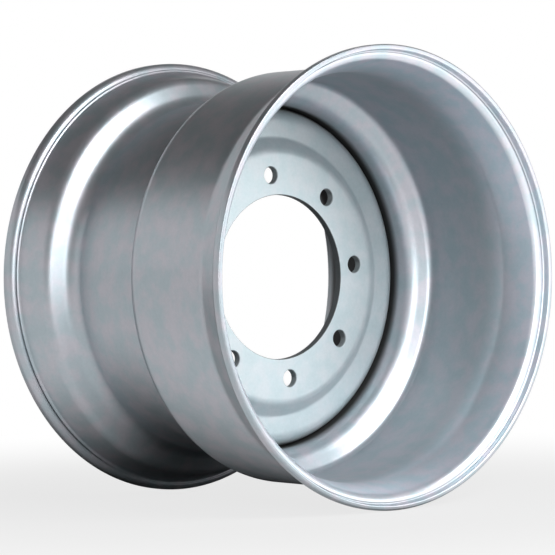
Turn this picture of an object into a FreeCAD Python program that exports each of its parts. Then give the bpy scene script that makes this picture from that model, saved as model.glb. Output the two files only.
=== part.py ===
import FreeCAD, Part
import math
import os
from collections import namedtuple

import Sketcher
from FreeCAD import Rotation, Vector

# A welded steel disc wheel for a wide tubeless truck tyre: a rolled drop-centre rim, a pressed
# disc with eight bolt holes, and the weld that joins them. The axle lies along Y with the
# outboard side at -Y, Z is up, and the origin is the wheel's centre.

# Name, size and what it measures. Lengths are millimetres, slopes and turns are degrees.
SIZES = [
    ("rim_width", 406.4, "between the two flange faces"),
    ("bead_seat_dia", 571.5, "tyre seat at the foot of the flange"),
    ("flange_height", 12.7, "top of the lip above the bead seat"),
    ("lip_reach", 17, "flange face to the edge of the lip"),
    ("rim_sheet", 7, "thickness of the rolled rim"),
    ("seat_width", 44, "axial width of each sloping bead seat"),
    ("seat_slope", 15, "slope of the bead seats"),
    ("ledge_width", 142.7, "level ledge from the outboard seat to the well"),
    ("well_dia", 479, "bottom of the well, tyre side"),
    ("well_wall_run", 16, "axial run of each sloping well wall"),
    ("heel_bend", 4, "inside radius between bead seat and flange"),
    ("lip_bend", 2.25, "inside radius between flange and lip"),
    ("seat_bend", 30, "inside radius between outboard seat and ledge"),
    ("well_top_bend", 12, "inside radius at the top of each well wall"),
    ("well_foot_bend", 22, "inside radius at the foot of each well wall"),
    ("lip_round", 2.2, "rounding of the lip's edges"),
    ("valve_hole_dia", 15.7, "valve hole in the outboard well wall"),
    ("disc_sheet", 11, "thickness of the pressed disc"),
    ("bore_dia", 221, "hub bore"),
    ("bolt_circle_dia", 275, "circle through the bolt holes"),
    ("bolt_hole_dia", 23, "each bolt hole"),
    ("bolt_count", 8, "number of bolt holes"),
    ("first_bolt_turn", 6.3, "first bolt hole above the X axis"),
    ("pad_dia", 339, "edge of the flat hub pad"),
    ("step_run", 18, "radial run of the step around the pad"),
    ("step_depth", 14, "pad face to the shoulder behind it"),
    ("skirt_length", 61, "shoulder to the inboard end of the skirt"),
    ("pad_bend", 6, "inside radius at the edge of the pad"),
    ("step_bend", 8, "inside radius at the foot of the step"),
    ("shoulder_bend", 11, "inside radius between shoulder and skirt"),
    ("edge_break", 1, "chamfer on the bore and bolt holes"),
    ("fit_gap", 0.3, "play of the disc and weld inside the well"),
    ("weld_leg", 9, "leg of the fillet weld"),
    ("weld_crown", 11, "radius of the weld's rounded face"),
]

# The heel and the lip bend share the flange's height above the sheet, so neither outgrows it.
HEEL_SHARE = 0.75
LIP_SHARE = 0.4
# The bends of a well wall share its height in the same way.
WELL_TOP_SHARE = 0.35
WELL_FOOT_SHARE = 0.65
# The bend into the skirt takes at most this share of the shoulder's width.
SHOULDER_SHARE = 0.8
# The valve hole sits on the side away from the first bolt hole, in degrees round the axle.
VALVE_TURN = 180
# The valve drill starts and ends this far, in millimetres, beyond the sheet.
DRILL_OVERRUN = 5

# Radii from the axle and distances along it, as formulas of the sheet's cells.
FLANGE_FACE = "Sizes.rim_width / 2"
LIP_EDGE = f"({FLANGE_FACE} + Sizes.lip_reach)"
SEAT_END = f"({FLANGE_FACE} - Sizes.seat_width)"
LEDGE_END = f"({SEAT_END} - Sizes.ledge_width)"
SEAT_R = "Sizes.bead_seat_dia / 2"
CREST_R = f"({SEAT_R} + Sizes.flange_height)"
LEDGE_R = f"({SEAT_R} - Sizes.seat_width * tan(Sizes.seat_slope))"
WELL_R = "Sizes.well_dia / 2"
SKIRT_R = f"({WELL_R} - Sizes.rim_sheet - Sizes.fit_gap)"
SKIRT_END = "(Sizes.step_depth + Sizes.skirt_length)"
STEP_R = "(Sizes.pad_dia / 2 + Sizes.step_run)"
FLANGE_ROOM = "(Sizes.flange_height - Sizes.rim_sheet)"
HEEL = f"min(Sizes.heel_bend; {HEEL_SHARE} * {FLANGE_ROOM})"
LIP = f"min(Sizes.lip_bend; {LIP_SHARE} * {FLANGE_ROOM})"
SHOULDER = f"min(Sizes.shoulder_bend; {SHOULDER_SHARE} * ({SKIRT_R} - {STEP_R}) - Sizes.disc_sheet)"
WALL_RISE = f"({LEDGE_R} - {WELL_R})"
WELL_TOP = f"min(Sizes.well_top_bend; {WELL_TOP_SHARE} * {WALL_RISE})"
WELL_FOOT = f"min(Sizes.well_foot_bend; {WELL_FOOT_SHARE} * {WALL_RISE})"
WALL_TILT = f"atan2({WALL_RISE}; Sizes.well_wall_run)"

Corner = namedtuple("Corner", "name radial axial inside")
Bend = namedtuple("Bend", "centre radius first second left")


def make_sizes(doc):
    """Fill the spreadsheet with one named cell for each driving dimension."""
    sizes = doc.addObject("Spreadsheet::Sheet", "Sizes")
    for row, (name, size, note) in enumerate(SIZES, start=1):
        sizes.set(f"A{row}", name)
        sizes.set(f"B{row}", str(size))
        sizes.set(f"C{row}", note)
        sizes.setAlias(f"B{row}", name)
    doc.recompute()
    return sizes


def make_body(doc, name):
    """Add an empty body whose label names its file."""
    body = doc.addObject("PartDesign::Body", name)
    body.Label = name
    return body


def make_sketch(body, name, plane_role):
    """Add a sketch on one of the body's own origin planes."""
    sketch = body.newObject("Sketcher::SketchObject", name)
    plane = next(f for f in body.Origin.OriginFeatures if f.Role == plane_role)
    sketch.AttachmentSupport = [(plane, "")]
    sketch.MapMode = "FlatFace"
    return sketch


def bind(sketch, name, formula, kind, *where):
    """Add a named dimension and tie it to a formula of the sheet."""
    size = sketch.Document.Sizes.evalExpression(formula)
    index = sketch.addConstraint(Sketcher.Constraint(kind, *where, size))
    sketch.renameConstraint(index, name)
    sketch.setExpression(f"Constraints.{name}", formula)


def pin_point(sketch, name, geo, pos, radial, axial):
    """Dimension a point from the origin, radially along X and axially along Y."""
    bind(sketch, f"{name}_radial", radial, "DistanceX", -1, 1, geo, pos)
    if axial == "0":
        sketch.addConstraint(Sketcher.Constraint("PointOnObject", geo, pos, -1))
    else:
        bind(sketch, f"{name}_axial", axial, "DistanceY", -1, 1, geo, pos)


def join(sketch, first, first_end, second, second_end):
    """Make the end of one line meet the end of another."""
    sketch.addConstraint(Sketcher.Constraint("Coincident", first, first_end, second, second_end))


def round_corner(before, corner, after, inside, thick):
    """Work out the arc that rounds a corner of a sheet whose metal lies on the right."""
    way_in = (corner - before).normalize()
    way_out = (after - corner).normalize()
    to_left = Vector(-way_in.y, way_in.x, 0)
    turn = math.atan2(to_left.dot(way_out), way_in.dot(way_out))
    left = turn > 0
    radius = inside if left else inside + thick
    reach = radius * math.tan(abs(turn) / 2)
    first = corner - way_in * reach
    centre = first + to_left * (radius if left else -radius)
    return Bend(centre, radius, first, corner + way_out * reach, left)


def bend_arc(bend, radius, first, second):
    """Return a bend's arc, which always runs anticlockwise."""
    start, end = (first, second) if bend.left else (second, first)
    angles = [math.atan2(p.y - bend.centre.y, p.x - bend.centre.x) for p in (start, end)]
    if angles[1] < angles[0]:
        angles[1] += 2 * math.pi
    return Part.ArcOfCircle(Part.Circle(bend.centre, Vector(0, 0, 1), radius), *angles)


def draw_face(sketch, start, bends, end, depth):
    """Draw one face of a bent sheet, as lines and tangent arcs, and return their numbers."""
    lines = []
    arcs = []
    here = start
    for bend in bends:
        radius = bend.radius + (depth if bend.left else -depth)
        first = bend.centre + (bend.first - bend.centre) * (radius / bend.radius)
        second = bend.centre + (bend.second - bend.centre) * (radius / bend.radius)
        lines.append(sketch.addGeometry(Part.LineSegment(here, first)))
        arcs.append(sketch.addGeometry(bend_arc(bend, radius, first, second)))
        here = second
    lines.append(sketch.addGeometry(Part.LineSegment(here, end)))
    for i, bend in enumerate(bends):
        enters, leaves = (1, 2) if bend.left else (2, 1)
        sketch.addConstraint(Sketcher.Constraint("Tangent", lines[i], 2, arcs[i], enters))
        sketch.addConstraint(Sketcher.Constraint("Tangent", arcs[i], leaves, lines[i + 1], 1))
    return lines, arcs


def sheet_section(body, name, thickness, corners):
    """Sketch the section of a bent sheet of even thickness.

    The corners follow one face, with the metal on the right of the way they run. The other
    face repeats each bend about the same centre, one thickness away.
    """
    sketch = make_sketch(body, name, "XY_Plane")
    number = sketch.Document.Sizes.evalExpression
    thick = number(thickness)
    points = [Vector(number(c.radial), number(c.axial), 0) for c in corners]
    bends = []
    for i, corner in enumerate(corners[1:-1], start=1):
        bends.append(round_corner(*points[i - 1:i + 2], number(corner.inside), thick))

    def behind(point, towards):
        way = (towards - point).normalize()
        return point + Vector(way.y, -way.x, 0) * thick

    far_end = points[-1] * 2 - behind(points[-1], points[-2])
    front, front_arcs = draw_face(sketch, points[0], bends, points[-1], 0)
    back, back_arcs = draw_face(sketch, behind(points[0], points[1]), bends, far_end, thick)

    pin_point(sketch, corners[0].name, front[0], 1, corners[0].radial, corners[0].axial)
    pin_point(sketch, corners[-1].name, front[-1], 2, corners[-1].radial, corners[-1].axial)
    for i, bend in enumerate(bends):
        corner = corners[i + 1]
        mark = sketch.addGeometry(Part.Point(points[i + 1]), True)
        for line in front[i:i + 2]:
            sketch.addConstraint(Sketcher.Constraint("PointOnObject", mark, 1, line))
        pin_point(sketch, corner.name, mark, 1, corner.radial, corner.axial)
        join(sketch, front_arcs[i], 3, back_arcs[i], 3)
        outside = f"{corner.inside} + {thickness}"
        front_r, back_r = (corner.inside, outside) if bend.left else (outside, corner.inside)
        bind(sketch, f"{corner.name}_front", front_r, "Radius", front_arcs[i])
        bind(sketch, f"{corner.name}_back", back_r, "Radius", back_arcs[i])

    for i, end in ((0, 1), (-1, 2)):
        tips = [sketch.getPoint(line, end) for line in (front[i], back[i])]
        edge = sketch.addGeometry(Part.LineSegment(*tips))
        join(sketch, edge, 1, front[i], end)
        join(sketch, edge, 2, back[i], end)
        sketch.addConstraint(Sketcher.Constraint("Parallel", front[i], back[i]))
        sketch.addConstraint(Sketcher.Constraint("Perpendicular", edge, front[i]))
    return sketch


def turn_round(body, sketch, name):
    """Revolve a section sketch round the axle."""
    turned = body.newObject("PartDesign::Revolution", name)
    turned.Profile = sketch
    turned.ReferenceAxis = (sketch, ["V_Axis"])
    turned.Angle = 360
    body.Document.recompute()
    return turned


def ring_edges(feature, test):
    """Name the circular edges whose curve passes a test."""
    names = []
    for i, edge in enumerate(feature.Shape.Edges, start=1):
        if isinstance(edge.Curve, Part.Circle) and test(edge.Curve):
            names.append(f"Edge{i}")
    return names


def make_rim(doc):
    """Roll the rim: lips, flanges, sloping bead seats, outboard ledge and drop-centre well."""
    body = make_body(doc, "rim")
    corners = [
        Corner("inner_edge", CREST_R, LIP_EDGE, None),
        Corner("inner_lip", CREST_R, FLANGE_FACE, LIP),
        Corner("inner_heel", SEAT_R, FLANGE_FACE, HEEL),
        Corner("inner_shoulder", LEDGE_R, SEAT_END, WELL_TOP),
        Corner("inner_foot", WELL_R, f"{SEAT_END} - Sizes.well_wall_run", WELL_FOOT),
        Corner("outer_foot", WELL_R, f"Sizes.well_wall_run - {LEDGE_END}", WELL_FOOT),
        Corner("outer_shoulder", LEDGE_R, f"-{LEDGE_END}", WELL_TOP),
        Corner("outer_seat", LEDGE_R, f"-{SEAT_END}", "Sizes.seat_bend"),
        Corner("outer_heel", SEAT_R, f"-{FLANGE_FACE}", HEEL),
        Corner("outer_lip", CREST_R, f"-{FLANGE_FACE}", LIP),
        Corner("outer_edge", CREST_R, f"-{LIP_EDGE}", None),
    ]
    section = sheet_section(body, "rim_section", "Sizes.rim_sheet", corners)
    rolled = turn_round(body, section, "rolled_rim")

    lip_edge = doc.Sizes.evalExpression(LIP_EDGE)
    rounded = body.newObject("PartDesign::Fillet", "rounded_lips")
    rounded.Base = (rolled, ring_edges(rolled, lambda c: math.isclose(abs(c.Center.y), lip_edge)))
    rounded.setExpression("Radius", "Sizes.lip_round")
    doc.recompute()

    drill = body.newObject("PartDesign::Groove", "valve_hole")
    drill.Profile = valve_drill(body)
    drill.ReferenceAxis = (drill.Profile[0], ["Axis0"])
    drill.Angle = 360
    body.Tip = drill
    body.Placement.Rotation = Rotation(Vector(0, 1, 0), VALVE_TURN)
    return body


def valve_drill(body):
    """Sketch half of the drill that bores the valve hole square through the well wall."""
    sketch = make_sketch(body, "valve_drill", "XY_Plane")
    number = body.Document.Sizes.evalExpression
    length = f"Sizes.rim_sheet + 2 * {DRILL_OVERRUN}"
    radial = f"({LEDGE_R} + {WELL_R}) / 2 + {DRILL_OVERRUN} * cos({WALL_TILT})"
    axial = f"Sizes.well_wall_run / 2 - {LEDGE_END} + {DRILL_OVERRUN} * sin({WALL_TILT})"
    tilt = math.radians(number(WALL_TILT))
    along = Vector(-math.cos(tilt), -math.sin(tilt), 0) * number(length)
    across = Vector(-math.sin(tilt), math.cos(tilt), 0) * number("Sizes.valve_hole_dia / 2")
    top = Vector(number(radial), number(axial), 0)
    outline = [top, top + along, top + along + across, top + across]
    lines = []
    for i in range(4):
        lines.append(sketch.addGeometry(Part.LineSegment(outline[i], outline[(i + 1) % 4])))
    for i in range(4):
        join(sketch, lines[i], 2, lines[(i + 1) % 4], 1)
    for i in range(3):
        sketch.addConstraint(Sketcher.Constraint("Perpendicular", lines[i], lines[i + 1]))
    axis = sketch.addGeometry(Part.LineSegment(top, top + along), True)
    join(sketch, axis, 1, lines[0], 1)
    join(sketch, axis, 2, lines[0], 2)
    pin_point(sketch, "drill_top", axis, 1, radial, axial)
    bind(sketch, "drill_length", length, "Distance", axis)
    bind(sketch, "drill_radius", "Sizes.valve_hole_dia / 2", "Distance", lines[1])
    bind(sketch, "drill_end", f"({axial}) - ({length}) * sin({WALL_TILT})",
         "DistanceY", -1, 1, axis, 2)
    return sketch


def make_disc(doc):
    """Press the disc: flat hub pad, step, shoulder and skirt, then bore the bolt holes."""
    body = make_body(doc, "disc")
    corners = [
        Corner("skirt_end", SKIRT_R, SKIRT_END, None),
        Corner("shoulder", SKIRT_R, "Sizes.step_depth", SHOULDER),
        Corner("step", STEP_R, "Sizes.step_depth", "Sizes.step_bend"),
        Corner("pad", "Sizes.pad_dia / 2", "0", "Sizes.pad_bend"),
        Corner("bore", "Sizes.bore_dia / 2", "0", None),
    ]
    section = sheet_section(body, "disc_section", "Sizes.disc_sheet", corners)
    turn_round(body, section, "pressed_disc")

    circle = make_sketch(body, "bolt_circle", "XZ_Plane")
    bolt_r = doc.Sizes.evalExpression("Sizes.bolt_hole_dia / 2")
    place = Vector(doc.Sizes.evalExpression("Sizes.bolt_circle_dia / 2"), 0, 0)
    hole = circle.addGeometry(Part.Circle(place, Vector(0, 0, 1), bolt_r))
    pin_point(circle, "bolt", hole, 3, "Sizes.bolt_circle_dia / 2", "0")
    bind(circle, "bolt_radius", "Sizes.bolt_hole_dia / 2", "Radius", hole)

    first = body.newObject("PartDesign::Pocket", "first_bolt_hole")
    first.Profile = circle
    first.Type = "ThroughAll"
    ring = body.newObject("PartDesign::PolarPattern", "bolt_holes")
    ring.Originals = [first]
    ring.Axis = (next(f for f in body.Origin.OriginFeatures if f.Role == "Y_Axis"), [""])
    ring.Angle = 360
    ring.setExpression("Occurrences", "Sizes.bolt_count")
    body.Tip = ring
    doc.recompute()

    holes = (doc.Sizes.evalExpression("Sizes.bore_dia / 2"), bolt_r)
    broken = body.newObject("PartDesign::Chamfer", "broken_edges")
    rims = ring_edges(ring, lambda c: any(math.isclose(c.Radius, r) for r in holes))
    broken.Base = (ring, rims)
    broken.setExpression("Size", "Sizes.edge_break")
    body.Tip = broken
    body.Placement.Rotation = Rotation(Vector(0, -1, 0), 0)
    body.setExpression("Placement.Rotation.Angle", "Sizes.first_bolt_turn")
    return body


def make_weld(doc):
    """Lay the fillet weld in the corner between the skirt's end and the well."""
    body = make_body(doc, "weld_bead")
    sketch = make_sketch(body, "weld_section", "XY_Plane")
    number = doc.Sizes.evalExpression
    leg = number("Sizes.weld_leg")
    crown = number("Sizes.weld_crown")
    root = Vector(number(SKIRT_R), number(SKIRT_END), 0)
    on_well = root + Vector(0, leg, 0)
    on_skirt = root - Vector(leg, 0, 0)
    chord = on_well - on_skirt
    middle = (on_well + on_skirt) / 2
    inward = Vector(chord.y, -chord.x, 0).normalize()
    centre = middle + inward * math.sqrt(crown ** 2 - (chord.Length / 2) ** 2)
    start = math.atan2(on_well.y - centre.y, on_well.x - centre.x)
    end = math.atan2(on_skirt.y - centre.y, on_skirt.x - centre.x)
    face = Part.ArcOfCircle(Part.Circle(centre, Vector(0, 0, 1), crown), start, end)
    sides = [Part.LineSegment(on_skirt, root), Part.LineSegment(root, on_well), face]
    skirt_leg, well_leg, crown_arc = [sketch.addGeometry(side) for side in sides]
    join(sketch, skirt_leg, 2, well_leg, 1)
    join(sketch, well_leg, 2, crown_arc, 1)
    join(sketch, crown_arc, 2, skirt_leg, 1)
    sketch.addConstraint(Sketcher.Constraint("Horizontal", skirt_leg))
    sketch.addConstraint(Sketcher.Constraint("Vertical", well_leg))
    sketch.addConstraint(Sketcher.Constraint("Equal", skirt_leg, well_leg))
    pin_point(sketch, "root", well_leg, 1, SKIRT_R, SKIRT_END)
    bind(sketch, "leg", "Sizes.weld_leg", "Distance", well_leg)
    bind(sketch, "crown", "Sizes.weld_crown", "Radius", crown_arc)
    body.Tip = turn_round(body, sketch, "weld_ring")
    return body


def check(doc, bodies):
    """Stop if any object failed or any sub-part has no sound solid."""
    for item in doc.Objects:
        if "Invalid" in item.State or "Error" in item.State:
            raise RuntimeError(f"{item.Name} failed: {item.State}")
    for body in bodies:
        if body.Shape.isNull() or not body.Shape.isValid() or len(body.Shape.Solids) != 1:
            raise RuntimeError(f"{body.Label} is not one valid solid")


def main():
    doc = FreeCAD.newDocument("truck_wheel")
    make_sizes(doc)
    bodies = [make_rim(doc), make_disc(doc), make_weld(doc)]
    doc.recompute()
    check(doc, bodies)
    os.makedirs("parts", exist_ok=True)
    for body in bodies:
        body.Shape.exportStep(f"parts/{body.Label}.step")
        box = body.Shape.BoundBox
        print(body.Label, "volume", round(body.Shape.Volume), "width", round(box.YLength, 2))


main()
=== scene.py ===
# %% [markdown]
# A wide steel truck wheel, painted silver and standing on its flanges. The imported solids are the
# fixed frame. The rim, disc and weld are drawn again here as smooth turned surfaces, so that the
# paint shows clean reflections, and each one stands for the solid with the same name.

# %% The frame and its box
from collections import namedtuple

import bpy
import numpy as np
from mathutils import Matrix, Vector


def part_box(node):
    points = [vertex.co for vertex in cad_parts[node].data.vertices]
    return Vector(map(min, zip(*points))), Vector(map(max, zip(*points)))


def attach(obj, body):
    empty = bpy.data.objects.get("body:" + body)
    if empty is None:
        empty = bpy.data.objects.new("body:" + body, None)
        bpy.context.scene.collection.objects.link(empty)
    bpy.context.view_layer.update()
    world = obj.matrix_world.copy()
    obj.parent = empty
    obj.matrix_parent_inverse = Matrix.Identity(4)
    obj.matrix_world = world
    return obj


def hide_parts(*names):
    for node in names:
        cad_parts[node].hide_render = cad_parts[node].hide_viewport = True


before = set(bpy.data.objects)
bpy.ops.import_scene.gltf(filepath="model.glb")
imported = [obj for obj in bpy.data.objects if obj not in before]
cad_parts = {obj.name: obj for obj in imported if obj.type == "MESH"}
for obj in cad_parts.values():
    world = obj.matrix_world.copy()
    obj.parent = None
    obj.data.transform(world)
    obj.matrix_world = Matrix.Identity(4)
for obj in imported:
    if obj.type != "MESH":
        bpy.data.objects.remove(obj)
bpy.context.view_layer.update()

rim_low, rim_high = (np.array(corner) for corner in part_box("rim"))
FLANGE_RADIUS = (rim_high[2] - rim_low[2]) / 2
LIP_EDGE = rim_high[1]
print("flange radius", round(FLANGE_RADIUS, 4), "lip edge", round(LIP_EDGE, 4))

# %% [markdown]
# The view is a long lens, a little above the axle and well round to one side of it. The numbers
# say how the axle lies in the picture: how far it swings to the right, how far it dips, and how
# the picture rolls. They give the wheel's axes in camera space, and the inverse of those places
# the camera in the wheel's own frame. A Track To constraint would aim the camera as well, but it
# can't roll the picture.

# %% Camera
FOCAL_PIXELS = 2591.0
PICTURE_PIXELS = 555.0
SENSOR_MM = 36.0
AXLE_SWING = np.radians(41.84)
AXLE_DIP = np.radians(1.04)
PICTURE_ROLL = np.radians(-1.36)
WHEEL_FROM_CAMERA = np.array([0.014, -0.002, 11.662]) * FLANGE_RADIUS


def wheel_axes_in_camera(swing, dip, roll):
    """Columns are the wheel's X, Y and Z in camera space (right, down, forward).

    The outboard axle swings right and dips, X and Z are square to it, and all turn by the roll.
    """
    out = np.array([np.sin(swing) * np.cos(dip), np.sin(dip), -np.cos(swing) * np.cos(dip)])
    up = np.array([0.0, -1.0, 0.0])
    up = up - out * (up @ out)
    up = up / np.linalg.norm(up)
    across = np.cross(up, out)
    cos, sin = np.cos(roll), np.sin(roll)
    turn = np.array([[cos, -sin, 0.0], [sin, cos, 0.0], [0.0, 0.0, 1.0]])
    return turn @ np.column_stack([across, -out, up])


def add_object(name, data):
    """Put a camera, lamp or mesh into the scene as an object."""
    thing = bpy.data.objects.new(name, data)
    bpy.context.collection.objects.link(thing)
    return thing


def set_pose(thing, axes, place):
    """Turn an object until its axes are the columns of axes, and move it to a place."""
    thing.matrix_world = np.vstack([np.column_stack([axes, place]), [0, 0, 0, 1]]).T.tolist()


wheel_axes = wheel_axes_in_camera(AXLE_SWING, AXLE_DIP, PICTURE_ROLL)
camera_place = -wheel_axes.T @ WHEEL_FROM_CAMERA
camera_axes = wheel_axes.T @ np.diag([1.0, -1.0, -1.0])
camera = add_object("camera", bpy.data.cameras.new("camera"))
camera.data.sensor_width = SENSOR_MM
camera.data.lens = FOCAL_PIXELS / PICTURE_PIXELS * SENSOR_MM
set_pose(camera, camera_axes, camera_place)
bpy.context.scene.camera = camera
bpy.context.scene.view_settings.view_transform = "Standard"
print("camera at", camera_place.round(3))

# %% [markdown]
# Paint is mixed from nodes. Clicking them together hides the arithmetic, so one small class wraps
# an output socket: Python's own operators on it add Math nodes, and its node method adds any
# other kind. A paint's recipe then reads as a few lines of ordinary expressions.

# %% Sockets that do sums
class Field:
    """A value that changes over a surface: an output socket and the node tree that it is in."""

    def __init__(self, tree, socket):
        self.tree = tree
        self.socket = socket

    def node(self, kind, settings, inputs, output=0):
        """Add a node: its settings first, then a value or a link for each input, by name or number."""
        made = self.tree.nodes.new(kind)
        for name, value in settings.items():
            setattr(made, name, value)
        for place, value in inputs.items():
            self.feed(made.inputs[place], value)
        return Field(self.tree, made.outputs[output])

    def feed(self, socket, value):
        """Link a field to a socket, or set a plain value on it."""
        if isinstance(value, Field):
            self.tree.links.new(value.socket, socket)
        else:
            socket.default_value = value

    def sum_of(self, operation, *values):
        """One Math node, which takes its values in order."""
        return self.node("ShaderNodeMath", {"operation": operation}, dict(enumerate(values)))

    def __add__(self, other):
        return self.sum_of("ADD", self, other)

    def __sub__(self, other):
        return self.sum_of("SUBTRACT", self, other)

    def __rsub__(self, other):
        return self.sum_of("SUBTRACT", other, self)

    def __mul__(self, other):
        return self.sum_of("MULTIPLY", self, other)

    def __truediv__(self, other):
        return self.sum_of("DIVIDE", self, other)

    def __neg__(self):
        return 0.0 - self

    __radd__ = __add__
    __rmul__ = __mul__


def start_material(name):
    """Return a material, its shader node, and the place and the facing of its surface as fields."""
    material = bpy.data.materials.new(name)
    material.use_nodes = True
    tree = material.node_tree
    shader = tree.nodes["Principled BSDF"]
    source = tree.nodes.new("ShaderNodeTexCoord")
    place, facing = (Field(tree, source.outputs[kind]) for kind in ("Object", "Normal"))
    return material, shader, place, facing


def ramp(field, low, high):
    """Rise smoothly from 0 where the field is low to 1 where it is high."""
    return field.node("ShaderNodeMapRange", {"interpolation_type": "SMOOTHSTEP"},
                      {"Value": field, "From Min": low, "From Max": high})


def noise(field, scale, detail):
    """Smooth noise from 0 to 1 over a vector field."""
    return field.node("ShaderNodeTexNoise", {}, {"Vector": field, "Scale": scale, "Detail": detail})


# A Mix node has sockets of the same names for numbers, vectors and colours: these are the colours'.
MIX_SHARE, MIX_FIRST, MIX_SECOND, MIX_RESULT = 0, 6, 7, 2


def blend(field, share, first, second):
    """Mix two colours in the field's tree: the first where share is 0, the second where it is 1."""
    inputs = {MIX_SHARE: share, MIX_FIRST: first, MIX_SECOND: second}
    return field.node("ShaderNodeMix", {"data_type": "RGBA"}, inputs, output=MIX_RESULT)


def parts_of(vector):
    """The X, Y and Z of a vector field."""
    split = vector.tree.nodes.new("ShaderNodeSeparateXYZ")
    vector.feed(split.inputs[0], vector)
    return [Field(vector.tree, socket) for socket in split.outputs]


# %% [markdown]
# The whole wheel is sprayed with satin aluminium paint. Fine metal flakes lie in a clear binder,
# so the coat is part metal and part pigment: it mirrors the room softly. Spraying leaves a faint
# orange peel and a cloudy change of tone that leans to blue or brown, and the rollers that formed
# the rim leave very faint rings. A picture of paint would do for one view, but these fields of
# noise hold at any distance.

# %% Silver paint
# A near-black colour that stands for painted shade in hollows, grooves and hole walls.
PAINTED_SHADE_COLOUR = (0.035, 0.036, 0.037, 1.0)
SPECK_SCALE, RING_SCALE, PEEL_SCALE = 260.0, 300.0, 420.0
TINT_EDGES = 0.35, 0.65
PEEL_STRENGTH, PEEL_DEPTH = 0.3, 0.00012
# How much brighter the paint is made where light is painted.
PAINTED_LIGHT_GAIN = 0.7
Spot = namedtuple("Spot", "radius along turn outward inboard")


def find_spot(place, facing):
    """Where a point lies on the wheel, and which way its surface faces.

    Radius is its distance from the axle, along its place on the axle, and turn its angle round the
    axle. Outward is the share of its facing away from the axle, and inboard the share along it.
    """
    x, along, z = parts_of(place)
    radius = x.sum_of("SQRT", x * x + z * z)
    facing_x, inboard, facing_z = parts_of(facing)
    outward = (facing_x * x + facing_z * z) / radius
    return Spot(radius, along, x.sum_of("ARCTAN2", z, x), outward, inboard)


def mix_silver(name, cool, warm, metal, rough, cloud_scale, shade_rule, light_rule):
    """Satin aluminium paint: two tints mixed by a cloud.

    Painted shade darkens it where the first rule says; painted light brightens it by the second.
    """
    material, shader, place, facing = start_material(name)
    spot = find_spot(place, facing)
    cloud = noise(place, cloud_scale, 5.0)
    speck = noise(place, SPECK_SCALE, 2.0)
    peel = noise(place, PEEL_SCALE, 2.0)
    section = place.node("ShaderNodeCombineXYZ", {}, {"X": spot.radius, "Y": spot.along})
    rings = noise(section, RING_SCALE, 3.0)
    # Painted shade: the share of near-black that the first rule gives.
    painted_shade = shade_rule(spot)
    tint = blend(place, ramp(cloud, *TINT_EDGES), cool, warm)
    # Painted light: the second rule's share adds brightness to the gain.
    gain = 0.80 + 0.20 * cloud + 0.04 * rings + 0.12 * speck + PAINTED_LIGHT_GAIN * light_rule(spot)
    lit = place.node("ShaderNodeVectorMath", {"operation": "SCALE"}, {0: tint, "Scale": gain})
    relief = {"Strength": PEEL_STRENGTH, "Distance": PEEL_DEPTH, "Height": peel + 0.7 * rings}
    place.feed(shader.inputs["Base Color"], blend(place, painted_shade, lit, PAINTED_SHADE_COLOUR))
    place.feed(shader.inputs["Roughness"], rough - 0.07 + 0.1 * cloud + 0.04 * rings + 0.2 * painted_shade)
    place.feed(shader.inputs["Metallic"], metal - metal * painted_shade)
    place.feed(shader.inputs["Normal"], place.node("ShaderNodeBump", {}, relief))
    return material


# %% [markdown]
# The paint is darkened towards near-black as painted shade inside the well behind the disc, in
# the deep groove where the disc meets the well, and on the walls of the holes. Inside the dish it
# is brightened as painted light at the mouth and a little on the well's wall, and darkened a
# little on the ledge as painted shade. On each piece rules of place and facing say where.

# %% Where shade and light are painted, and the three paints
BORE_RADIUS, DISC_SHEET = 0.1105, 0.011
BOLT_CIRCLE, BOLT_RADIUS, BOLT_COUNT = 0.1375, 0.0115, 8
FIRST_BOLT = np.radians(6.3)
# Each pair says where a fade starts and where it ends. These are places along the axle.
BEHIND_GROOVE, INBOARD_MOUTH = (0.004, 0.022), (0.180, 0.205)
PAST_MOUTH, PAST_SEAT = (-0.205, -0.12), (-0.19, -0.12)
IN_GROOVE, BEHIND_PAD = (0.0165, 0.0245), (0.012, 0.03)
# These are distances from the axle, and from the wall of a hole.
GROOVE_EDGE = 0.2205, 0.2300
WALL_START, WALL_END = 0.0003, 0.0009
# These are shares of the facing.
FACES, FACES_SQUARELY, FACES_A_LITTLE, SKIRT_FACES = (0.2, 0.6), (0.3, 0.7), (0.0, 0.3), (0.3, 0.6)


def either(first, second):
    """The larger of two fields."""
    return first.sum_of("MAXIMUM", first, second)


def shade_on_rim(spot):
    """Painted shade on the face towards the axle behind the groove, a little on the ledge before it.
    """
    inner = ramp(-spot.outward, *FACES)
    shaded_hollow = ramp(spot.along, *BEHIND_GROOVE) * (1 - ramp(spot.along, *INBOARD_MOUTH))
    shaded_ledge = ramp(spot.along, *PAST_SEAT) * (1 - ramp(-spot.inboard, *FACES_SQUARELY))
    return inner * either(shaded_hollow, 0.2 * shaded_ledge)


def painted_light_on_rim(spot):
    """Painted light on the face towards the axle at the mouth, and a little on the well's wall."""
    mouth = 1 - ramp(spot.along, *PAST_MOUTH)
    wall = ramp(-spot.inboard, *FACES_SQUARELY)
    return ramp(-spot.outward, *FACES_A_LITTLE) * either(mouth, 0.25 * wall)


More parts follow.
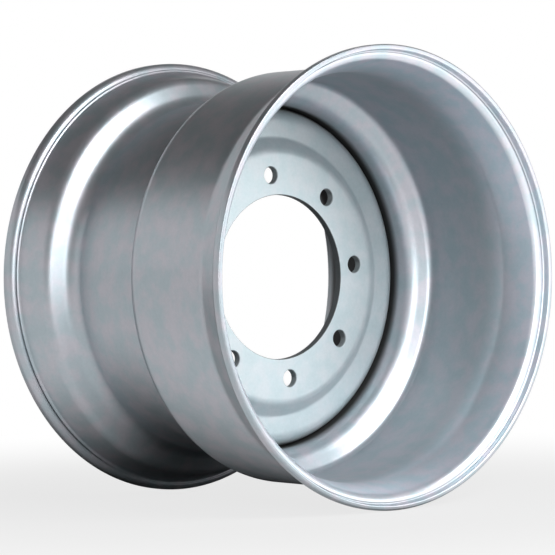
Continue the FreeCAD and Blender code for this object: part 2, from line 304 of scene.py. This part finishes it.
def shade_on_disc(spot):
    """Painted shade: the rounded edge down in the groove, the back, the walls of bore and bolt holes.
    """
    half = np.pi / BOLT_COUNT
    turn = spot.turn.sum_of("WRAP", spot.turn - FIRST_BOLT, half, -half)
    across = spot.radius * turn.sum_of("SINE", turn)
    outward = spot.radius * turn.sum_of("COSINE", turn) - BOLT_CIRCLE
    reach = across.sum_of("SQRT", across * across + outward * outward)
    hole_wall = 1 - ramp(reach, BOLT_RADIUS + WALL_START, BOLT_RADIUS + WALL_END)
    bore_wall = 1 - ramp(spot.radius, BORE_RADIUS + WALL_START, BORE_RADIUS + WALL_END)
    groove = ramp(spot.radius, *GROOVE_EDGE) * ramp(spot.along, *IN_GROOVE)
    inside_skirt = ramp(-spot.outward, *SKIRT_FACES) * ramp(spot.along, *BEHIND_PAD)
    back = either(ramp(spot.inboard, *FACES), inside_skirt)
    return either(either(groove, back), either(0.55 * hole_wall, 0.85 * bore_wall))


def shade_on_weld(spot):
    """Painted shade: the same share of near-black all over, like the hollow behind the disc."""
    return 0.45


def nowhere(spot):
    """No point of the piece."""
    return 0.0


rim_paint = mix_silver("silver_rim_paint", cool=(0.45, 0.52, 0.56, 1), warm=(0.52, 0.52, 0.565, 1),
                       metal=0.8, rough=0.38, cloud_scale=38.0, shade_rule=shade_on_rim, light_rule=painted_light_on_rim)
disc_paint = mix_silver("silver_disc_paint", cool=(0.56, 0.66, 0.69, 1), warm=(0.60, 0.66, 0.69, 1),
                        metal=0.55, rough=0.44, cloud_scale=44.0, shade_rule=shade_on_disc, light_rule=nowhere)
weld_paint = mix_silver("silver_weld_paint", cool=(0.30, 0.33, 0.34, 1), warm=(0.34, 0.33, 0.32, 1),
                        metal=0.6, rough=0.46, cloud_scale=40.0, shade_rule=shade_on_weld, light_rule=nowhere)
print("paints", rim_paint.name, disc_paint.name, weld_paint.name)

# %% [markdown]
# The rim and the disc are bent sheet of one thickness. Their section is a path of corners with a
# bend at each, repeated one thickness away, so the outline is a polygon whose corners are arcs.
# A Bevel modifier would round the corners too, but all by one width; here every bend has its own
# radius, as the rolls and the press give it.

# %% Sections of bent sheet
BEND_STEP = np.radians(7.5)
FLAT_MARGIN = 0.0012


def offset_corners(path, thick):
    """Shift each corner of a path to its right by the sheet's thickness, along the mitre."""
    ways = np.diff(path, axis=0)
    ways /= np.linalg.norm(ways, axis=1, keepdims=True)
    right = np.column_stack([ways[:, 1], -ways[:, 0]])
    before = np.vstack([right[:1], right])
    after = np.vstack([right, right[-1:]])
    return path + thick * (before + after) / (1 + (before * after).sum(axis=1, keepdims=True))


def left_turns(path):
    """True at each inner corner where the path turns to the left."""
    ways = np.diff(path, axis=0)
    return ways[:-1, 0] * ways[1:, 1] - ways[:-1, 1] * ways[1:, 0] > 0


def round_corner(before, corner, after, radius):
    """Points of the arc that rounds one corner, with a short flat kept at both of its ends."""
    way_in = (corner - before) / np.linalg.norm(corner - before)
    way_out = (after - corner) / np.linalg.norm(after - corner)
    side = np.sign(way_in[0] * way_out[1] - way_in[1] * way_out[0])
    turn = np.arccos(np.clip(way_in @ way_out, -1, 1))
    reach = radius * np.tan(turn / 2)
    normal = side * np.array([-way_in[1], way_in[0]])
    centre = corner - way_in * reach + normal * radius
    swept = np.linspace(0, turn, max(3, int(np.ceil(turn / BEND_STEP)) + 1))[:, None]
    arc = centre - radius * (normal * np.cos(swept) - way_in * np.sin(swept))
    flat = min(FLAT_MARGIN, radius / 4)
    return np.vstack([arc[0] - way_in * flat, arc, arc[-1] + way_out * flat])


def sheet_outline(path, bends, thick, end_round):
    """Closed outline of a bent sheet: one face, its end, the other face back, and its other end."""
    path = np.array(path, float)
    bends = np.array(bends, float)
    left = left_turns(path)
    front_radii = np.where(left, bends, bends + thick)
    back_radii = np.where(left, bends + thick, bends)
    points = np.vstack([path, offset_corners(path, thick)[::-1]])
    ends = [end_round]
    radii = np.concatenate([ends, front_radii, ends, ends, back_radii[::-1], ends])
    around = zip(np.roll(points, 1, axis=0), points, np.roll(points, -1, axis=0), radii)
    return np.vstack([round_corner(*corner) for corner in around])


# %% [markdown]
# A turned piece is its outline carried round the axle. Spin does this too, but it works on loose
# edges and leaves a seam to weld; two arrays give every point of the closed grid at once.

# %% Turning an outline round the axle
def closed_grid(rows, columns):
    """Quads of a grid that closes on itself both ways, as four corner numbers each."""
    i, j = np.meshgrid(np.arange(rows), np.arange(columns), indexing="ij")
    down, across = (i + 1) % rows, (j + 1) % columns
    corners = [i * columns + j, i * columns + across, down * columns + across, down * columns + j]
    return np.stack(corners, -1).reshape(-1, 4)


def grid_piece(name, points, paint):
    """Put a grid of points, shaped rows by columns by three, into a mesh of smooth quads."""
    quads = closed_grid(*points.shape[:2])
    mesh = bpy.data.meshes.new(name)
    mesh.from_pydata(points.reshape(-1, 3), [], quads)
    mesh.polygons.foreach_set("use_smooth", np.ones(len(quads), bool))
    mesh.materials.append(paint)
    return add_object(name, mesh)


def turn_outline(name, outline, steps, paint):
    """Each outline point (r, y) sweeps the circle (r cos t, y, r sin t)."""
    t = np.linspace(0, 2 * np.pi, steps, endpoint=False)
    r, y = outline[:, :1], outline[:, 1:]
    points = np.stack([r * np.cos(t), np.broadcast_to(y, (len(outline), steps)), r * np.sin(t)], -1)
    return grid_piece(name, points, paint)


def stand_for(piece, node):
    """Ride on the one body and stand for the solid, which is hidden."""
    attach(piece, "root")
    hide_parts(node)
    print(piece.name, len(piece.data.polygons), "faces for", node)


# %% [markdown]
# The rim is one strip, rolled to a drop-centre section: a lip and flange at each edge, a bead seat
# that slopes at fifteen degrees, a wide ledge outboard, and the well that lets the tyre over the
# flange. Its numbers are the rim's own sizes in metres, from the inboard edge to the outboard one.
# The outline could be read off the solid, but sizes with names can be understood and changed.

# %% Rim
RIM_SHEET = 0.007
FLANGE_FACE = 0.2032
SEAT_RADIUS = 0.28575
SEAT_WIDTH = 0.044
SEAT_SLOPE = np.radians(15)
LEDGE_RADIUS = SEAT_RADIUS - SEAT_WIDTH * np.tan(SEAT_SLOPE)
LEDGE_WIDTH = 0.1427
WELL_RADIUS = 0.2395
WELL_WALL_RUN = 0.016
HEEL_BEND, LIP_BEND, SEAT_BEND = 0.004, 0.00225, 0.030
TOP_BEND, FOOT_BEND = 0.012, 0.022
LIP_ROUND = 0.0022
RIM_STEPS = 288
seat_end = FLANGE_FACE - SEAT_WIDTH
ledge_end = seat_end - LEDGE_WIDTH
rim_path = [
    (FLANGE_RADIUS, LIP_EDGE),
    (FLANGE_RADIUS, FLANGE_FACE),
    (SEAT_RADIUS, FLANGE_FACE),
    (LEDGE_RADIUS, seat_end),
    (WELL_RADIUS, seat_end - WELL_WALL_RUN),
    (WELL_RADIUS, WELL_WALL_RUN - ledge_end),
    (LEDGE_RADIUS, -ledge_end),
    (LEDGE_RADIUS, -seat_end),
    (SEAT_RADIUS, -FLANGE_FACE),
    (FLANGE_RADIUS, -FLANGE_FACE),
    (FLANGE_RADIUS, -LIP_EDGE),
]
rim_bends = [LIP_BEND, HEEL_BEND, TOP_BEND, FOOT_BEND,
             FOOT_BEND, TOP_BEND, SEAT_BEND, HEEL_BEND, LIP_BEND]
rim_outline = sheet_outline(rim_path, rim_bends, RIM_SHEET, LIP_ROUND)
rim = turn_outline("rim_shell", rim_outline, RIM_STEPS, rim_paint)
print("rim outline", len(rim_outline), "points")

# %% [markdown]
# The holes are drilled after the sheet is shaped, as on the real wheel. A Boolean does it, because
# a hole crosses the grid of a turned surface. The drill is a round bar, and where it widens beyond
# both faces one cut also breaks the edges. The cut mesh replaces the uncut one, so no modifier or
# drill is left behind, and edges are marked sharp by angle to keep the holes crisp.

# %% Drilling
DRILL_STEPS = 64
SHARP_ANGLE = np.radians(28)


def drill_bar(start, way, outline):
    """Each outline row (distance, radius) is a ring round the line from start along way."""
    side = np.cross(way, [0.0, 0.0, 1.0])
    side /= np.linalg.norm(side)
    t = np.linspace(0, 2 * np.pi, DRILL_STEPS, endpoint=False)
    spokes = np.outer(np.cos(t), side) + np.outer(np.sin(t), np.cross(way, side))
    rings = start + outline[:, :1, None] * way + outline[:, 1:, None] * spokes
    count = len(outline) * DRILL_STEPS
    walls = closed_grid(len(outline), DRILL_STEPS)[:count - DRILL_STEPS].tolist()
    first = list(range(DRILL_STEPS))[::-1]
    last = list(range(count - DRILL_STEPS, count))
    mesh = bpy.data.meshes.new("drill")
    mesh.from_pydata(rings.reshape(-1, 3), [], walls + [first, last])
    return mesh


def drill(piece, bars):
    """Cut every bar out of a piece, one after another, and keep only the cut mesh."""
    for bar in bars:
        tool = add_object("drill", bar)
        cut = piece.modifiers.new("cut", "BOOLEAN")
        cut.operation = "DIFFERENCE"
        cut.solver = "EXACT"
        cut.object = tool
        bpy.context.view_layer.update()
        whole = piece.data
        cut_piece = piece.evaluated_get(bpy.context.evaluated_depsgraph_get())
        piece.data = bpy.data.meshes.new_from_object(cut_piece)
        piece.modifiers.clear()
        bpy.data.meshes.remove(whole)
        bpy.data.objects.remove(tool)
        bpy.data.meshes.remove(bar)
    piece.data.set_sharp_from_angle(angle=SHARP_ANGLE)
    print(piece.name, "drilled", len(bars), "times")


# %% [markdown]
# The valve goes through the sloping wall of the well, on the outboard side. A hole along the axle
# would be simpler, but the valve seals on the wall, so the hole is square to it.

# %% Valve hole
VALVE_RADIUS, DRILL_REACH = 0.00785, 0.005
wall_slope = np.arctan2(LEDGE_RADIUS - WELL_RADIUS, WELL_WALL_RUN)
wall_middle = np.array([-(LEDGE_RADIUS + WELL_RADIUS) / 2, WELL_WALL_RUN / 2 - ledge_end, 0.0])
valve_way = np.array([np.cos(wall_slope), -np.sin(wall_slope), 0.0])
valve_outline = np.array([[-DRILL_REACH, VALVE_RADIUS], [RIM_SHEET + DRILL_REACH, VALVE_RADIUS]])
drill(rim, [drill_bar(wall_middle, valve_way, valve_outline)])
stand_for(rim, "rim")

# %% [markdown]
# The disc is pressed from thicker plate: a flat pad for the hub, a step round it, a shoulder, and
# a skirt that slides into the well. The bore and the eight bolt holes are cut after pressing. Here
# the bore is the end of the turned outline, so only the bolt holes need the drill.

# %% Disc
FIT_GAP = 0.0003
SKIRT_RADIUS = WELL_RADIUS - RIM_SHEET - FIT_GAP
SKIRT_END, SHOULDER_FACE = 0.075, 0.014
STEP_RADIUS, PAD_RADIUS = 0.1875, 0.1695
SHOULDER_BEND, STEP_BEND, PAD_BEND = 0.011, 0.008, 0.006
EDGE_BREAK, DRILL_FLARE = 0.001, 0.003
AXLE = np.array([0.0, 1.0, 0.0])
DISC_STEPS = 240
disc_path = [
    (SKIRT_RADIUS, SKIRT_END),
    (SKIRT_RADIUS, SHOULDER_FACE),
    (STEP_RADIUS, SHOULDER_FACE),
    (PAD_RADIUS, 0.0),
    (BORE_RADIUS, 0.0),
]
disc_bends = [SHOULDER_BEND, STEP_BEND, PAD_BEND]
disc_outline = sheet_outline(disc_path, disc_bends, DISC_SHEET, EDGE_BREAK)
disc = turn_outline("disc_shell", disc_outline, DISC_STEPS, disc_paint)

flared_radius = BOLT_RADIUS + EDGE_BREAK + DRILL_FLARE
bolt_outline = np.array([
    [-DRILL_FLARE, flared_radius],
    [EDGE_BREAK, BOLT_RADIUS],
    [DISC_SHEET - EDGE_BREAK, BOLT_RADIUS],
    [DISC_SHEET + DRILL_FLARE, flared_radius],
])
bolt_turns = FIRST_BOLT + 2 * np.pi * np.arange(BOLT_COUNT) / BOLT_COUNT
bolt_ways = np.column_stack([np.cos(bolt_turns), 0 * bolt_turns, np.sin(bolt_turns)])
drill(disc, [drill_bar(BOLT_CIRCLE * way, AXLE, bolt_outline) for way in bolt_ways])
stand_for(disc, "disc")

# %% [markdown]
# A fillet weld inside the well holds the disc. A welding robot lays it in one slow turn, and each
# pulse of the arc freezes as a small crescent, so the bead's face is rippled. The ripples are part
# of the surface's formula; a bump map would leave the edge of the bead straight.

# %% Weld
WELD_LEG, WELD_CROWN = 0.009, 0.011
RIPPLE_COUNT, RIPPLE_DEPTH, RIPPLE_STEPS = 220, 0.0005, 9
RIPPLE_LAG = 2.2
FACE_ROWS, FACE_MIDDLE = 17, 0.75 * np.pi
BEAD_SHARP_ANGLE = np.radians(40)


def weld_surface(leg, crown, root):
    """Points of the rippled bead, as rows across its section and columns round the axle.

    The section is two legs and a round face. The face's radius from the centre of its arc falls
    by a cosine of the turn, whose phase lags at both edges so that each ripple is a crescent.
    """
    chord = np.sqrt(2) * leg
    sink = np.sqrt(crown ** 2 - chord ** 2 / 4) / np.sqrt(2)
    centre = root + np.array([sink - leg / 2, leg / 2 - sink])
    spread = np.arcsin(chord / 2 / crown)
    across = np.linspace(-1, 1, FACE_ROWS)[:, None]
    turn = np.linspace(0, 2 * np.pi, RIPPLE_COUNT * RIPPLE_STEPS, endpoint=False)[None, :]
    wave = 0.5 - 0.5 * np.cos(RIPPLE_COUNT * turn + RIPPLE_LAG * across ** 2)
    reach = crown - RIPPLE_DEPTH * wave * (1 - across ** 2)
    angle = FACE_MIDDLE + spread * across
    radius = np.vstack([centre[0] + reach * np.cos(angle), np.full_like(turn, root[0])])
    axial = np.vstack([centre[1] + reach * np.sin(angle), np.full_like(turn, root[1])])
    return np.stack([radius * np.cos(turn), axial, radius * np.sin(turn)], -1)


weld_points = weld_surface(WELD_LEG, WELD_CROWN, np.array([SKIRT_RADIUS, SKIRT_END]))
weld = grid_piece("weld_shell", weld_points[::-1], weld_paint)
weld.data.set_sharp_from_angle(angle=BEAD_SHARP_ANGLE)
stand_for(weld, "weld_bead")

# %% [markdown]
# The solids that the shells stand for aren't drawn, but they carry the same paints, so that a part
# shown without its shell still looks right.

# %% Paint on the solids
for node, paint in (("rim", rim_paint), ("disc", disc_paint), ("weld_bead", weld_paint)):
    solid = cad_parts[node]
    solid.data.materials.clear()
    solid.data.materials.append(paint)
    print("solid", node, "wears", paint.name)

# %% [markdown]
# The studio is a white floor inside a round white wall, under a dark ceiling, with three softboxes
# in front of the disc: a strong one above it, and a weaker one low down on each side. Silver paint
# shows what stands round it, so the wall makes the bright bands and the ceiling the dark ones. A
# picture of a studio wrapped round the world would do too, but here each tone has a rule of its own.
# The wall and the floor shine only for rays that see or mirror them, and are grey to all others.

# %% Studio
FLOOR_LEVEL = rim_low[2]
ROOM_RADIUS, WALL_HEIGHT = 9.0, 5.2
ROUND_POINTS, FLOOR_RINGS = 97, 25
WALL_GREY, FLOOR_GREY = 0.3, 0.4
CEILING_TINT, CEILING_STRENGTH = (1.0, 0.94, 0.92, 1), 0.09


def stage_grid(name, rows, columns, place):
    """A grid of points from place(u, v), with u and v from 0 to 1, as a stage piece."""
    u, v = np.meshgrid(np.linspace(0, 1, rows), np.linspace(0, 1, columns), indexing="ij")
    points = np.stack(place(u, v), -1).reshape(-1, 3)
    i, j = np.meshgrid(np.arange(rows - 1), np.arange(columns - 1), indexing="ij")
    start = i * columns + j
    quads = np.stack([start, start + 1, start + columns + 1, start + columns], -1).reshape(-1, 4)
    mesh = bpy.data.meshes.new(name)
    mesh.from_pydata(points, [], quads)
    piece = add_object(name, mesh)
    return piece


def round_wall(u, v):
    """A cylinder: u goes up it and v goes round it."""
    return (ROOM_RADIUS * np.cos(2 * np.pi * v), ROOM_RADIUS * np.sin(2 * np.pi * v),
            FLOOR_LEVEL + WALL_HEIGHT * u)


def round_floor(u, v):
    """A disc: u goes outwards and v goes round."""
    return (ROOM_RADIUS * u * np.cos(2 * np.pi * v), ROOM_RADIUS * u * np.sin(2 * np.pi * v),
            FLOOR_LEVEL + 0 * u)


def glow(name, base, seen, mirrored):
    """A stage material: grey, but white by two rules of place for rays that see or mirror it."""
    material, shader, place, _ = start_material(name)
    tree = place.tree
    path = tree.nodes.new("ShaderNodeLightPath")
    camera_ray = Field(tree, path.outputs["Is Camera Ray"])
    mirror_ray = Field(tree, path.outputs["Is Glossy Ray"])
    across, along, _ = parts_of(place)
    shade = camera_ray + mirror_ray * mirrored(across, along)
    white = place.node("ShaderNodeEmission", {}, {"Color": shade})
    plain = place.node("ShaderNodeBsdfDiffuse", {}, {"Color": (base, base, base, 1)})
    shown = camera_ray * seen(across, along) + mirror_ray
    mixed = place.node("ShaderNodeMixShader", {}, {"Fac": shown, 1: plain, 2: white})
    place.feed(tree.nodes["Material Output"].inputs["Surface"], mixed)
    tree.nodes.remove(shader)
    return material


def floor_seen(across, along):
    """White far from the wheel, and less so close to it, where its shadow falls."""
    away = across.sum_of("SQRT", across * across + along * along)
    return 0.78 + 0.22 * ramp(away, 0.3, 1.3)


def floor_mirrored(across, along):
    """Painted shadow in reflections: dark under the wheel, most of all at the inboard flange, white on
    both sides.
    """
    return 0.95 * ramp(across.sum_of("ABSOLUTE", across) - 0.35 * along, 0.02, 0.34)


def wall_seen(across, along):
    """White all over."""
    return 1.0


def wall_mirrored(across, along):
    """White behind the wheel, where its outside faces, and half as bright in front of it."""
    return 0.4 + 0.55 * ramp(along, -5.0, 2.0)


wall = stage_grid("studio_wall", 2, ROUND_POINTS, round_wall)
wall.data.materials.append(glow("wall_white", WALL_GREY, wall_seen, wall_mirrored))
floor = stage_grid("studio_floor", FLOOR_RINGS, ROUND_POINTS, round_floor)
floor.data.materials.append(glow("floor_white", FLOOR_GREY, floor_seen, floor_mirrored))

world = bpy.data.worlds.new("dark_ceiling")
world.use_nodes = True
ceiling = world.node_tree.nodes["Background"].inputs
ceiling["Color"].default_value = CEILING_TINT
ceiling["Strength"].default_value = CEILING_STRENGTH
bpy.context.scene.world = world


def softbox(name, place, width, height, power):
    """A rectangular lamp at a place, turned to face the wheel's centre."""
    lamp = bpy.data.lights.new(name, "AREA")
    lamp.shape = "RECTANGLE"
    lamp.size, lamp.size_y, lamp.energy = width, height, power
    back = np.array(place) / np.linalg.norm(place)
    right = np.cross([0.0, 0.0, 1.0], back)
    right = right / np.linalg.norm(right)
    set_pose(add_object(name, lamp), np.column_stack([right, np.cross(back, right), back]), place)


softbox("front_softbox", [0.1, -2.6, 2.0], width=2.2, height=1.6, power=80.0)
softbox("low_softbox", [-1.2, -2.9, 0.45], width=1.6, height=1.3, power=26.0)
softbox("side_softbox", [2.1, -2.4, 0.25], width=1.8, height=1.3, power=18.0)
print("studio", FLOOR_LEVEL, ROOM_RADIUS)
